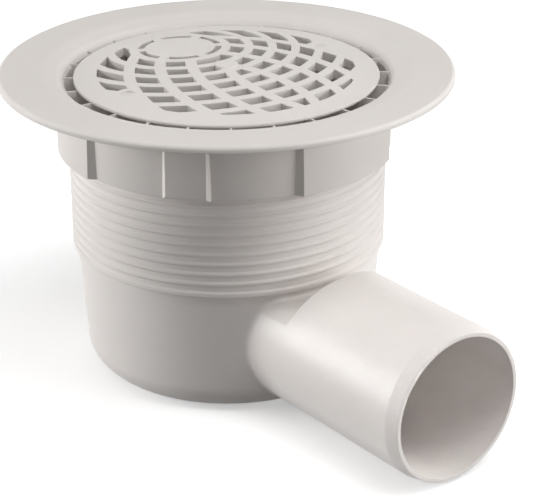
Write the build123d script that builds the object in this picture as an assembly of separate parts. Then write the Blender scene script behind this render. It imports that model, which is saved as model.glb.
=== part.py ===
from build123d import *
import math
import os

# Round floor drain: a bucket with a side outlet, a collar that screws over the
# bucket's tube to set the floor level, and a crowned lattice grate that lies in
# the collar. Millimetres, +Z up, the base centred on the origin, outlet along +X.

# Bucket and tube
TUBE_RADIUS = 51.6
SHOULDER_STEP = 0.7
SHOULDER_HEIGHT = 43.7
BODY_HEIGHT = 89.6
BODY_WALL = 2.4
BODY_FLOOR = 2.4
BASE_TAPER = 3.0
BASE_ROUND = 10.0

# Thread on the tube, above a plain land: one right-hand ridge with 45 degree flanks
THREAD_DEPTH = 0.6
THREAD_PITCH = 3.3
THREAD_CREST_WIDTH = 0.6
THREAD_SINK = 0.5
THREAD_LEAD = 0.4
THREAD_CLEARANCE = 0.3
LAND_HEIGHT = 1.2

# Outlet spigot
OUTLET_RADIUS = 25.0
OUTLET_WALL = 2.2
OUTLET_LENGTH = 63.1
OUTLET_BASE_GAP = 0.4
SPIGOT_LENGTH = 43.5
BEVEL_LENGTH = 4.5
BEVEL_DEPTH = 0.9
NECK_DRAFT = 0.2

# Room round the tube for the collar, cut down into the spigot's root
RELIEF_CLEARANCE = 7.0
RELIEF_DROP = 3.2
NECK_ROUND = 8.0
NECK_CREASE = 12.0
ROOT_FILLET = 2.5

# Collar
RIM_GAP = 0.5
LEDGE_THICKNESS = 2.0
LEDGE_WIDTH = 2.6
RECESS_DEPTH = 2.4
SKIRT_WALL = 1.2
SKIRT_DEPTH = 25.4
SKIRT_FILLET = 1.0
COVE_WIDTH = 4.8
COVE_DEPTH = 2.7
COVE_ROUND = 12.0
FLANGE_WIDTH = 15.5
FLANGE_THICKNESS = 2.0
FLANGE_EDGE_ROUND = 1.2
COLLAR_TURN = 10.0

# Flange's fall to the throat: a gentle dish, then a steep lip
DISH_WIDTH = 5.3
DISH_DEPTH = 1.8
DISH_ROUND = 8.0
LIP_WIDTH = 2.3
LIP_DEPTH = 2.5
LIP_ROUND = 2.0
THROAT_ROUND = 1.0

# Lugs on the skirt, wide and narrow in turn
LUG_PAIRS = 3
WIDE_LUG_ANGLE = 43.5
WIDE_LUG_DEPTH = 2.1
NARROW_LUG_ANGLE = 13.4
NARROW_LUG_DEPTH = 1.5
NARROW_LUG_BEVEL = 0.9
LUG_DRAFT = 0.65
LUG_SIDE_SLOPE = 45.0

# Fins on the collar's ledge that carry the grate
FIN_COUNT = 24
FIN_WIDTH = 0.7
FIN_HEIGHT = 7.1
FIN_BITE = 1.05

# Grate: a thin edge on the fins and a thicker middle that drops between them
GRATE_GAP = 2.8
GRATE_EDGE_THICKNESS = 0.9
GRATE_CROWN = 2.5
GRATE_THICKNESS = 3.0
GRATE_CLEARANCE = 0.4
GRATE_EDGE_ROUND = 0.4
GRATE_BORDER = 7.6

# Lattice: rings about a plain pad, crossed by arcs that bulge from the centre line
PAD_OFFSET = 26.2
PAD_RADIUS = 11.8
PAD_SPOKES = 6
PAD_SPOKE_WIDTH = 3.2
PAD_BACK_WIDTH = 26.6
FIRST_RING_RADIUS = 15.5
RING_PITCH = 7.75
RING_BAR_WIDTH = 2.9
ARC_CENTRE = 24.1
FIRST_ARC_OFFSET = 5.9
ARC_PITCH = 11.3
FIRST_ARC_RADIUS = 58.5
ARC_RADIUS_STEP = 4.0
ARC_BAR_WIDTH = 3.7
BOSS_RADIUS = 3.8
BOSS_HEIGHT = 0.3
DIMPLE_INSET = 3.6
DIMPLE_PAD_RADIUS = 4.3
DIMPLE_RADIUS = 2.4
DIMPLE_DEPTH = 0.4
SMALLEST_OPENING = 12.0

# Radii that follow from the tube outwards
BUCKET_RADIUS = TUBE_RADIUS - SHOULDER_STEP
BASE_RADIUS = BUCKET_RADIUS - BASE_TAPER
THREAD_CREST = TUBE_RADIUS + THREAD_DEPTH
COLLAR_BORE = THREAD_CREST + THREAD_CLEARANCE
SKIRT_RADIUS = COLLAR_BORE + SKIRT_WALL
COVE_RADIUS = SKIRT_RADIUS + COVE_WIDTH
FLANGE_RADIUS = COVE_RADIUS + FLANGE_WIDTH
RELIEF_RADIUS = SKIRT_RADIUS + WIDE_LUG_DEPTH + RELIEF_CLEARANCE

# Radii that follow from the collar's bore, outwards over the lip and inwards to the grate
LIP_RADIUS = COLLAR_BORE + LIP_WIDTH
DISH_RADIUS = LIP_RADIUS + DISH_WIDTH
GRATE_RADIUS = COLLAR_BORE - GRATE_GAP
LEDGE_RADIUS = GRATE_RADIUS - LEDGE_WIDTH
PLUG_RADIUS = LEDGE_RADIUS - GRATE_CLEARANCE
PATTERN_RADIUS = GRATE_RADIUS - GRATE_BORDER
DIMPLE_OFFSET = PATTERN_RADIUS - DIMPLE_INSET

# Heights that follow up the tube: land, thread
LAND_TOP = SHOULDER_HEIGHT + LAND_HEIGHT
LAND_BEVEL_TOP = LAND_TOP + THREAD_DEPTH
THREAD_HALF_WIDTH = THREAD_CREST_WIDTH / 2 + THREAD_DEPTH
THREAD_START = LAND_BEVEL_TOP + THREAD_LEAD + THREAD_HALF_WIDTH
THREAD_TURNS = int((BODY_HEIGHT - THREAD_HALF_WIDTH - THREAD_START) / THREAD_PITCH)

# Heights that follow from the stack: tube, ledge, fins, grate, flange
LEDGE_UNDERSIDE = BODY_HEIGHT + RIM_GAP
LEDGE_TOP = LEDGE_UNDERSIDE + LEDGE_THICKNESS
SEAT_HEIGHT = LEDGE_TOP + FIN_HEIGHT
GRATE_EDGE_TOP = SEAT_HEIGHT + GRATE_EDGE_THICKNESS
FLANGE_TOP = GRATE_EDGE_TOP + RECESS_DEPTH
FLANGE_UNDERSIDE = FLANGE_TOP - FLANGE_THICKNESS
COVE_UNDERSIDE = FLANGE_UNDERSIDE - COVE_DEPTH
LIP_TOP = FLANGE_TOP - DISH_DEPTH
THROAT_TOP = LIP_TOP - LIP_DEPTH
SKIRT_BOTTOM = FLANGE_TOP - SKIRT_DEPTH

# Places along the outlet
OUTLET_HEIGHT = OUTLET_BASE_GAP + OUTLET_RADIUS
OUTLET_BORE = OUTLET_RADIUS - OUTLET_WALL
OUTLET_REACH = BUCKET_RADIUS + OUTLET_LENGTH
BEVEL_START = OUTLET_REACH - BEVEL_LENGTH
SPIGOT_START = BEVEL_START - SPIGOT_LENGTH
RELIEF_FLOOR = SHOULDER_HEIGHT - RELIEF_DROP

# Centre of the neck's rounding, seen along the outlet, from the crease where it meets the pipe
NECK_ROUND_RISE = RELIEF_FLOOR - NECK_ROUND - OUTLET_HEIGHT
NECK_ROUND_REACH = math.sqrt(
    OUTLET_RADIUS**2 + NECK_ROUND**2 - 2 * OUTLET_RADIUS * NECK_ROUND * math.cos(math.radians(NECK_CREASE))
)
NECK_ROUND_OFFSET = math.sqrt(NECK_ROUND_REACH**2 - NECK_ROUND_RISE**2)
NECK_SIDE_HEIGHT = OUTLET_HEIGHT + OUTLET_RADIUS * NECK_ROUND_RISE / NECK_ROUND_REACH

# Spare length that a cutting solid runs past the face it cuts
OVERRUN = 5.0

UPRIGHT = (Align.CENTER, Align.CENTER, Align.MIN)


def turned(points, rounds=()):
    """Solid of revolution about Z from a (radius, height) outline, its seam opposite the outlet."""
    face = make_face(Polyline(*points, close=True))
    for (radius, height), size in rounds:
        corner = face.vertices().sort_by_distance((radius, height, 0))[0]
        face = fillet(corner, size)
    return Rot(0, 0, 180) * revolve(Plane.XZ * face, Axis.Z)


def outlet_turned(points):
    """Solid of revolution about the outlet's axis from an outline of (distance along it, radius)."""
    face = make_face(Polyline(*points, close=True))
    return Pos(0, 0, OUTLET_HEIGHT) * revolve(Plane.XZ * face, Axis.X)


def relief_cylinder(radius, floor):
    """Coaxial room above the spigot's root."""
    height = OUTLET_HEIGHT + OUTLET_RADIUS + OVERRUN - floor
    return Pos(0, 0, floor) * Cylinder(radius, height, align=UPRIGHT)


def make_saddle():
    """Block under the relief, its top edges rounded to meet the pipe at the crease angle."""
    width = 2 * (NECK_ROUND_OFFSET + NECK_ROUND)
    height = RELIEF_FLOOR - OUTLET_HEIGHT
    block = Pos(0, 0, OUTLET_HEIGHT) * Box(2 * OUTLET_REACH, width, height, align=UPRIGHT)
    top_edges = block.edges().filter_by(Axis.X).group_by(Axis.Z)[-1]
    return fillet(top_edges, NECK_ROUND)


def make_spigot():
    """Outlet pipe with a bevelled end, its root cut down under the collar's path."""
    inner_end = BASE_RADIUS / 2
    pipe = outlet_turned(
        [
            (inner_end, 0),
            (inner_end, OUTLET_RADIUS + NECK_DRAFT),
            (SPIGOT_START, OUTLET_RADIUS),
            (BEVEL_START, OUTLET_RADIUS),
            (OUTLET_REACH, OUTLET_RADIUS - BEVEL_DEPTH),
            (OUTLET_REACH, 0),
        ]
    )
    return pipe - (relief_cylinder(RELIEF_RADIUS, NECK_SIDE_HEIGHT) - make_saddle())


def make_thread():
    """Ridge that winds up the tube from a start opposite the outlet, its root sunk in the wall."""
    root = TUBE_RADIUS - THREAD_SINK
    half_root = THREAD_HALF_WIDTH + THREAD_SINK
    half_crest = THREAD_CREST_WIDTH / 2
    section = make_face(
        Polyline(
            (root, -half_root),
            (THREAD_CREST, -half_crest),
            (THREAD_CREST, half_crest),
            (root, half_root),
            close=True,
        )
    )
    path = Helix(THREAD_PITCH, THREAD_TURNS * THREAD_PITCH, TUBE_RADIUS)
    ridge = sweep(Plane.XZ * section, path=path, is_frenet=True)
    return Pos(0, 0, THREAD_START) * Rot(0, 0, 180) * ridge


def make_body():
    """Bucket, threaded tube and spigot in one moulding."""
    corner = (BASE_RADIUS, 0)
    bucket = turned(
        [
            (0, 0),
            corner,
            (BUCKET_RADIUS, SHOULDER_HEIGHT),
            (THREAD_CREST, SHOULDER_HEIGHT),
            (THREAD_CREST, LAND_TOP),
            (TUBE_RADIUS, LAND_BEVEL_TOP),
            (TUBE_RADIUS, BODY_HEIGHT),
            (0, BODY_HEIGHT),
        ],
        [(corner, BASE_ROUND)],
    )
    spigot = make_spigot()
    outside = bucket + spigot
    outside = fillet(new_edges(bucket, spigot, combined=outside), ROOT_FILLET)
    inner_corner = (BASE_RADIUS - BODY_WALL, BODY_FLOOR)
    cavity_top = BODY_HEIGHT + OVERRUN
    tube_bore = TUBE_RADIUS - BODY_WALL
    cavity = turned(
        [
            (0, BODY_FLOOR),
            inner_corner,
            (BUCKET_RADIUS - BODY_WALL, SHOULDER_HEIGHT),
            (tube_bore, BODY_HEIGHT),
            (tube_bore, cavity_top),
            (0, cavity_top),
        ],
        [(inner_corner, BASE_ROUND - BODY_WALL)],
    )
    bore_end = OUTLET_REACH + OVERRUN
    bore = outlet_turned([(0, 0), (0, OUTLET_BORE), (bore_end, OUTLET_BORE), (bore_end, 0)])
    bore -= relief_cylinder(RELIEF_RADIUS + OUTLET_WALL, RELIEF_FLOOR - OUTLET_WALL)
    return outside - cavity - bore + make_thread()


def lug_section(angle, depth):
    """Section across a lug: an outer arc, sloping sides and a foot inside the skirt's wall."""
    inner = SKIRT_RADIUS - SKIRT_WALL / 2
    outer = SKIRT_RADIUS + depth
    half = math.radians(angle / 2)
    spread = half + (outer - inner) * math.tan(math.radians(LUG_SIDE_SLOPE)) / inner
    top_arc = ThreePointArc(
        (outer * math.cos(half), -outer * math.sin(half)),
        (outer, 0),
        (outer * math.cos(half), outer * math.sin(half)),
    )
    foot_arc = ThreePointArc(
        (inner * math.cos(spread), inner * math.sin(spread)),
        (inner, 0),
        (inner * math.cos(spread), -inner * math.sin(spread)),
    )
    sides = [Line(top_arc @ 1, foot_arc @ 0), Line(foot_arc @ 1, top_arc @ 0)]
    return make_face([top_arc, foot_arc] + sides)


def lug(centre, angle, depth, bevel=0):
    """One lug on the skirt, drafted from the skirt's end up into the flange."""
    top_depth = depth - LUG_DRAFT
    cove_share = top_depth / COVE_WIDTH
    height = COVE_UNDERSIDE + COVE_DEPTH * cove_share + FLANGE_THICKNESS / 4 - SKIRT_BOTTOM
    solid = loft([lug_section(angle, depth), Pos(0, 0, height) * lug_section(angle, top_depth)], ruled=True)
    if bevel:
        end_edges = solid.edges().group_by(Axis.Z)[0]
        solid = chamfer(end_edges.sort_by_distance((SKIRT_RADIUS + depth, 0, 0))[0], bevel)
    return Rot(0, 0, centre) * Pos(0, 0, SKIRT_BOTTOM) * solid


def make_collar():
    """Flange, lip, grate seat and lugged skirt in one moulding."""
    underside_corner = (SKIRT_RADIUS, COVE_UNDERSIDE)
    underside_bend = (COVE_RADIUS, FLANGE_UNDERSIDE)
    rim_top = (FLANGE_RADIUS, FLANGE_TOP)
    dish_start = (DISH_RADIUS, FLANGE_TOP)
    lip = (LIP_RADIUS, LIP_TOP)
    throat = (COLLAR_BORE, THROAT_TOP)
    collar = turned(
        [
            (COLLAR_BORE, SKIRT_BOTTOM),
            (SKIRT_RADIUS, SKIRT_BOTTOM),
            underside_corner,
            underside_bend,
            (FLANGE_RADIUS, FLANGE_UNDERSIDE),
            rim_top,
            dish_start,
            lip,
            throat,
            (COLLAR_BORE, LEDGE_TOP),
            (LEDGE_RADIUS, LEDGE_TOP),
            (LEDGE_RADIUS, LEDGE_UNDERSIDE),
            (COLLAR_BORE, LEDGE_UNDERSIDE),
        ],
        [
            (underside_corner, SKIRT_FILLET),
            (underside_bend, COVE_ROUND),
            (rim_top, FLANGE_EDGE_ROUND),
            (dish_start, DISH_ROUND),
            (lip, LIP_ROUND),
            (throat, THROAT_ROUND),
        ],
    )
    lug_step = 360 / LUG_PAIRS
    for i in range(LUG_PAIRS):
        wide_centre = COLLAR_TURN + i * lug_step
        collar += lug(wide_centre, WIDE_LUG_ANGLE, WIDE_LUG_DEPTH)
        collar += lug(wide_centre + lug_step / 2, NARROW_LUG_ANGLE, NARROW_LUG_DEPTH, NARROW_LUG_BEVEL)
    sunk_foot = LEDGE_THICKNESS / 2
    fin = Pos(LEDGE_RADIUS, 0, LEDGE_TOP - sunk_foot) * Box(
        COLLAR_BORE + FIN_BITE - LEDGE_RADIUS,
        FIN_WIDTH,
        FIN_HEIGHT + sunk_foot,
        align=(Align.MIN, Align.CENTER, Align.MIN),
    )
    fins = [Rot(0, 0, COLLAR_TURN + i * 360 / FIN_COUNT) * fin for i in range(FIN_COUNT)]
    return collar + fins


def ring_sketch(radius, width):
    """Flat ring centred on its own mean radius."""
    return Circle(radius + width / 2) - Circle(radius - width / 2)


def pad_bars(pad_place):
    """Pad, its spokes, the rings about it and the plain strip behind it."""
    ring_count = int((PAD_OFFSET + PATTERN_RADIUS - FIRST_RING_RADIUS) / RING_PITCH) + 1
    ring_radii = [FIRST_RING_RADIUS + i * RING_PITCH for i in range(ring_count)]
    rings = [pad_place * ring_sketch(radius, RING_BAR_WIDTH) for radius in ring_radii]
    spoke = Rectangle(FIRST_RING_RADIUS, PAD_SPOKE_WIDTH, align=(Align.MIN, Align.CENTER))
    spokes = [pad_place * Rot(0, 0, i * 360 / PAD_SPOKES) * spoke for i in range(PAD_SPOKES)]
    strip = pad_place * Rectangle(PATTERN_RADIUS, PAD_BACK_WIDTH, align=(Align.MAX, Align.CENTER))
    strip -= pad_place * Circle(FIRST_RING_RADIUS)
    return rings + spokes + [strip, pad_place * Circle(PAD_RADIUS)]


def arc_bars(pad_place):
    """Arcs that bulge out from the centre line, in mirrored pairs, clear of the pad's first ring."""
    arc_count = int((PATTERN_RADIUS - FIRST_ARC_OFFSET) / ARC_PITCH) + 1
    upper_half = Rectangle(4 * PATTERN_RADIUS, 2 * PATTERN_RADIUS, align=(Align.CENTER, Align.MIN))
    bars = []
    for i in range(arc_count):
        radius = FIRST_ARC_RADIUS + i * ARC_RADIUS_STEP
        offset = FIRST_ARC_OFFSET + i * ARC_PITCH
        bar = Pos(ARC_CENTRE, offset - radius) * ring_sketch(radius, ARC_BAR_WIDTH)
        bar = bar & upper_half
        bar -= pad_place * Circle(FIRST_RING_RADIUS)
        bars += [bar, mirror(bar, Plane.XZ)]
    return bars


def grate_openings():
    """Faces of the openings left between the lattice's bars, without slivers."""
    pad_place = Pos(-PAD_OFFSET, 0)
    discs = [Circle(BOSS_RADIUS)]
    discs += [Pos(0, side * DIMPLE_OFFSET) * Circle(DIMPLE_PAD_RADIUS) for side in (1, -1)]
    openings = Circle(PATTERN_RADIUS)
    for bar in pad_bars(pad_place) + arc_bars(pad_place) + discs:
        openings -= bar
    return [face for face in openings.faces() if face.area > SMALLEST_OPENING]


def crown_drop(radius):
    """Fall of the crowned surface from the centre to a radius."""
    sphere = (GRATE_RADIUS**2 + GRATE_CROWN**2) / (2 * GRATE_CROWN)
    return sphere - math.sqrt(sphere**2 - radius**2)


def make_grate():
    """Crowned plate with a thin seated edge, pierced by the lattice."""
    crown_top = GRATE_EDGE_TOP + GRATE_CROWN
    under_top = crown_top - GRATE_THICKNESS
    edge_corner = (GRATE_RADIUS, GRATE_EDGE_TOP)
    under_edge = (PLUG_RADIUS, under_top - crown_drop(PLUG_RADIUS))
    top = TangentArc((0, crown_top), edge_corner, tangent=(1, 0))
    under = TangentArc((0, under_top), under_edge, tangent=(1, 0))
    rim = Polyline(edge_corner, (GRATE_RADIUS, SEAT_HEIGHT), (PLUG_RADIUS, SEAT_HEIGHT), under_edge)
    section = make_face([top, *rim.edges(), under, Line((0, under_top), (0, crown_top))])
    section = fillet(section.vertices().sort_by_distance((*edge_corner, 0))[0], GRATE_EDGE_ROUND)
    plate = revolve(Plane.XZ * section, Axis.Z)
    plate += Pos(0, 0, under_top) * Cylinder(BOSS_RADIUS, GRATE_THICKNESS + BOSS_HEIGHT, align=UPRIGHT)
    cut_floor = under_edge[1] - OVERRUN
    cut_height = crown_top + OVERRUN - cut_floor
    cutters = [Pos(0, 0, cut_floor) * extrude(face, cut_height) for face in grate_openings()]
    dimple_floor = crown_top - crown_drop(DIMPLE_OFFSET) - DIMPLE_DEPTH
    dimple = Pos(0, DIMPLE_OFFSET, dimple_floor) * Cylinder(DIMPLE_RADIUS, OVERRUN, align=UPRIGHT)
    return plate - cutters - [dimple, mirror(dimple, Plane.XZ)]


os.makedirs("parts", exist_ok=True)
export_step(make_body(), "parts/body.step")
export_step(make_collar(), "parts/collar.step")
export_step(make_grate(), "parts/grate.step")
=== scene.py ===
import math

import bpy
from mathutils import Matrix, Vector

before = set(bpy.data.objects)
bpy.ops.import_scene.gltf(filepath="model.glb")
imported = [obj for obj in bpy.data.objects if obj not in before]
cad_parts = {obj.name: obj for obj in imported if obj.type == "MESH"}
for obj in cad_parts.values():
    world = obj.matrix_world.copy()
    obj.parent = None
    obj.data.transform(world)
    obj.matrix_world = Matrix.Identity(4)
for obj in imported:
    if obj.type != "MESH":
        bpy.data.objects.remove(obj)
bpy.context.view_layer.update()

MM = 0.001
WHITE = (1.0, 1.0, 1.0, 1.0)

# Camera, as the photograph was taken: from the flange's top, in metres and degrees
VIEW_AZIMUTH = 53.71
VIEW_ELEVATION = 18.72
VIEW_DISTANCE = 0.6105
VIEW_ROLL = 0.27
AIM_RIGHT = 0.0132
AIM_HEIGHT = 0.0356
FLANGE_TOP = 0.1025
LENS_MM = 125.76
SENSOR_MM = 36.0
NEAREST_SEEN = 0.01

# Light: square softboxes at one distance, each with its angle to the right of the camera, elevation and watts
WORLD_FILL = 0.02
SOFTBOX_SIZE = 0.45
SOFTBOX_DISTANCE = 0.8
SOFTBOXES = {
    "left_softbox": (-93.0, 8.0, 6.3),
    "right_softbox": (80.0, 8.0, 4.8),
    "high_right_softbox": (60.0, 60.0, 2.5),
    "top_softbox": (0.0, 74.0, 1.9),
    "back_softbox": (180.0, 40.0, 0.4),
    "front_softbox": (0.0, 26.0, 0.5),
}

# Small narrow softbox on the outlet and into its mouth: angle, elevation, watts, then metres and degrees
OUTLET_SOFTBOX = (10.0, 20.0, 0.0021)
OUTLET_SOFTBOX_SIZE = 0.05
OUTLET_SOFTBOX_SPREAD = 5.0
OUTLET_MIDDLE = (0.1, 0.0, 0.03)

# Plastic of each node: linear colour and roughness
PLASTICS = {
    "body": ((0.80, 0.757, 0.727, 1.0), 0.36),
    "collar": ((0.72, 0.682, 0.652, 1.0), 0.62),
    "grate": ((0.75, 0.712, 0.682, 1.0), 0.64),
}
PLASTIC_IOR = 1.5
SPECULAR_LEVEL = 0.32

# Clouds in the colour, smears in the gloss and grain in the surface, with noise scales per metre
CLOUD_SCALE = 28.0
CLOUD_DETAIL = 4.0
CLOUD_SHADE = 0.955
CLOUD_START = 0.3
CLOUD_END = 0.7
SMEAR_SCALE = 90.0
SMEAR_DETAIL = 3.0
SMEAR_GLOSSIER = 0.05
SMEAR_DULLER = 0.07
GRAIN_SCALE = 1400.0
GRAIN_DETAIL = 2.0
GRAIN_STRENGTH = 0.10
GRAIN_DEPTH = 0.05 * MM

# Radius to which the moulded edges look rounded
EDGE_SOFTNESS = 0.35 * MM
EDGE_SAMPLES = 6

# Floor as the camera sees it, with added white that grows from near to far
FLOOR_REACH = 6.0
FLOOR_COLOUR = (0.93, 0.93, 0.93, 1.0)
NEAR_WHITE = 0.40
FAR_WHITE = 1.0
NEAR_REACH = 0.25
FAR_REACH = 0.8

# Floor as it lights the part from below
FLOOR_BOUNCE = (0.26, 0.26, 0.26, 1.0)


def view_axes():
    """Camera's right and back directions on the floor plane."""
    azimuth = math.radians(VIEW_AZIMUTH)
    right = Vector((math.cos(azimuth), math.sin(azimuth), 0))
    back = Vector((math.sin(azimuth), -math.cos(azimuth), 0))
    return right, back


def link(obj):
    bpy.context.scene.collection.objects.link(obj)
    return obj


def paint(obj, material):
    obj.data.materials.clear()
    obj.data.materials.append(material)


def noise(nodes, links, place, scale, detail):
    """Noise in the node's own coordinates, as a socket from 0 to 1."""
    texture = nodes.new("ShaderNodeTexNoise")
    texture.inputs["Scale"].default_value = scale
    texture.inputs["Detail"].default_value = detail
    links.new(place.outputs["Object"], texture.inputs["Vector"])
    return texture.outputs["Fac"]


def moulded_plastic(name, colour, roughness):
    """Satin moulded plastic: faint cloudiness in colour, uneven gloss, a fine grain and soft edges."""
    material = bpy.data.materials.new(name)
    material.use_nodes = True
    nodes = material.node_tree.nodes
    links = material.node_tree.links
    shader = nodes["Principled BSDF"]
    shader.inputs["IOR"].default_value = PLASTIC_IOR
    shader.inputs["Specular IOR Level"].default_value = SPECULAR_LEVEL
    place = nodes.new("ShaderNodeTexCoord")

    cloud = noise(nodes, links, place, CLOUD_SCALE, CLOUD_DETAIL)
    tint = nodes.new("ShaderNodeValToRGB")
    dark, light = tint.color_ramp.elements
    dark.position = CLOUD_START
    dark.color = tuple(c * CLOUD_SHADE for c in colour[:3]) + (1.0,)
    light.position = CLOUD_END
    light.color = colour
    links.new(cloud, tint.inputs["Fac"])
    links.new(tint.outputs["Color"], shader.inputs["Base Color"])

    smear = noise(nodes, links, place, SMEAR_SCALE, SMEAR_DETAIL)
    gloss = nodes.new("ShaderNodeMapRange")
    gloss.inputs["To Min"].default_value = roughness - SMEAR_GLOSSIER
    gloss.inputs["To Max"].default_value = roughness + SMEAR_DULLER
    links.new(smear, gloss.inputs["Value"])
    links.new(gloss.outputs["Result"], shader.inputs["Roughness"])

    grain = noise(nodes, links, place, GRAIN_SCALE, GRAIN_DETAIL)
    bump = nodes.new("ShaderNodeBump")
    bump.inputs["Strength"].default_value = GRAIN_STRENGTH
    bump.inputs["Distance"].default_value = GRAIN_DEPTH
    links.new(grain, bump.inputs["Height"])
    softened = nodes.new("ShaderNodeBevel")
    softened.samples = EDGE_SAMPLES
    softened.inputs["Radius"].default_value = EDGE_SOFTNESS
    links.new(softened.outputs["Normal"], bump.inputs["Normal"])
    links.new(bump.outputs["Normal"], shader.inputs["Normal"])
    return material


def seen_rays(nodes, links):
    """Socket that is 1 for camera, glossy and transmission rays, and 0 for the rays that light the part."""
    path = nodes.new("ShaderNodeLightPath")
    mirrored = nodes.new("ShaderNodeMath")
    mirrored.operation = "ADD"
    links.new(path.outputs["Is Glossy Ray"], mirrored.inputs[0])
    links.new(path.outputs["Is Transmission Ray"], mirrored.inputs[1])
    seen = nodes.new("ShaderNodeMath")
    seen.operation = "ADD"
    seen.use_clamp = True
    links.new(path.outputs["Is Camera Ray"], seen.inputs[0])
    links.new(mirrored.outputs["Value"], seen.inputs[1])
    return seen.outputs["Value"]


def pale_floor():
    """Floor's material: whiter to the camera than to the part above it."""
    material = bpy.data.materials.new("pale_floor")
    material.use_nodes = True
    nodes = material.node_tree.nodes
    links = material.node_tree.links
    nodes.remove(nodes["Principled BSDF"])
    bounced = nodes.new("ShaderNodeBsdfDiffuse")
    bounced.inputs["Color"].default_value = FLOOR_BOUNCE
    lit = nodes.new("ShaderNodeBsdfDiffuse")
    lit.inputs["Color"].default_value = FLOOR_COLOUR
    white = nodes.new("ShaderNodeEmission")
    white.inputs["Color"].default_value = WHITE
    place = nodes.new("ShaderNodeTexCoord")
    reach = nodes.new("ShaderNodeVectorMath")
    reach.operation = "LENGTH"
    links.new(place.outputs["Object"], reach.inputs[0])
    growth = nodes.new("ShaderNodeMapRange")
    growth.inputs["From Min"].default_value = NEAR_REACH
    growth.inputs["From Max"].default_value = FAR_REACH
    growth.inputs["To Min"].default_value = NEAR_WHITE
    growth.inputs["To Max"].default_value = FAR_WHITE
    links.new(reach.outputs["Value"], growth.inputs["Value"])
    links.new(growth.outputs["Result"], white.inputs["Strength"])
    seen = nodes.new("ShaderNodeAddShader")
    links.new(lit.outputs["BSDF"], seen.inputs[0])
    links.new(white.outputs["Emission"], seen.inputs[1])
    mix = nodes.new("ShaderNodeMixShader")
    links.new(seen_rays(nodes, links), mix.inputs["Fac"])
    links.new(bounced.outputs["BSDF"], mix.inputs[1])
    links.new(seen.outputs["Shader"], mix.inputs[2])
    links.new(mix.outputs["Shader"], nodes["Material Output"].inputs["Surface"])
    return material


def make_floor():
    """Plain pale floor under the base."""
    far = FLOOR_REACH
    mesh = bpy.data.meshes.new("floor")
    corners = [(-far, -far, 0), (far, -far, 0), (far, far, 0), (-far, far, 0)]
    mesh.from_pydata(corners, [], [(0, 1, 2, 3)])
    floor = link(bpy.data.objects.new("floor", mesh))
    paint(floor, pale_floor())


def make_world():
    """Soft fill for the object, plain white where the camera sees past it."""
    world = bpy.data.worlds.new("studio")
    bpy.context.scene.world = world
    world.use_nodes = True
    nodes = world.node_tree.nodes
    links = world.node_tree.links
    fill = nodes["Background"]
    fill.inputs["Color"].default_value = WHITE
    fill.inputs["Strength"].default_value = WORLD_FILL
    white = nodes.new("ShaderNodeBackground")
    white.inputs["Color"].default_value = WHITE
    white.inputs["Strength"].default_value = 1.0
    mix = nodes.new("ShaderNodeMixShader")
    links.new(seen_rays(nodes, links), mix.inputs["Fac"])
    links.new(fill.outputs["Background"], mix.inputs[1])
    links.new(white.outputs["Background"], mix.inputs[2])
    links.new(mix.outputs["Shader"], nodes["World Output"].inputs["Surface"])


def make_softbox(name, angle, elevation, power, target):
    """Square area light facing a point, placed by its angles from the camera's side."""
    light = bpy.data.lights.new(name, "AREA")
    light.shape = "SQUARE"
    light.size = SOFTBOX_SIZE
    light.energy = power
    lamp = link(bpy.data.objects.new(name, light))
    right_axis, back_axis = view_axes()
    turn = math.radians(angle)
    tilt = math.radians(elevation)
    level = right_axis * math.sin(turn) + back_axis * math.cos(turn)
    lamp.location = target + (level * math.cos(tilt) + Vector((0, 0, math.sin(tilt)))) * SOFTBOX_DISTANCE
    lamp.rotation_euler = (target - lamp.location).to_track_quat("-Z", "Y").to_euler()
    return light


def make_lights():
    """Softboxes round the part, and the narrow one on its outlet."""
    middle = Vector((0, 0, FLANGE_TOP / 2))
    for name, (angle, elevation, power) in SOFTBOXES.items():
        make_softbox(name, angle, elevation, power, middle)
    narrow = make_softbox("outlet_softbox", *OUTLET_SOFTBOX, Vector(OUTLET_MIDDLE))
    narrow.size = OUTLET_SOFTBOX_SIZE
    narrow.spread = math.radians(OUTLET_SOFTBOX_SPREAD)


def make_camera():
    """Camera at the photograph's angle, with its small roll."""
    right_axis, back_axis = view_axes()
    elevation = math.radians(VIEW_ELEVATION)
    top = Vector((0, 0, FLANGE_TOP))
    place = top + (back_axis * math.cos(elevation) + Vector((0, 0, 1)) * math.sin(elevation)) * VIEW_DISTANCE
    aim = right_axis * AIM_RIGHT + Vector((0, 0, AIM_HEIGHT))
    turn = (aim - place).to_track_quat("-Z", "Y").to_matrix().to_4x4()
    roll = Matrix.Rotation(math.radians(-VIEW_ROLL), 4, "Z")
    data = bpy.data.cameras.new("camera")
    data.lens = LENS_MM
    data.sensor_width = SENSOR_MM
    data.sensor_fit = "HORIZONTAL"
    data.clip_start = NEAREST_SEEN
    camera = link(bpy.data.objects.new("camera", data))
    camera.matrix_world = Matrix.Translation(place) @ turn @ roll
    bpy.context.scene.camera = camera


for node_name, (colour, roughness) in PLASTICS.items():
    paint(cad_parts[node_name], moulded_plastic(node_name + "_plastic", colour, roughness))

make_floor()
make_world()
make_lights()
make_camera()
bpy.context.scene.view_settings.view_transform = "Standard"
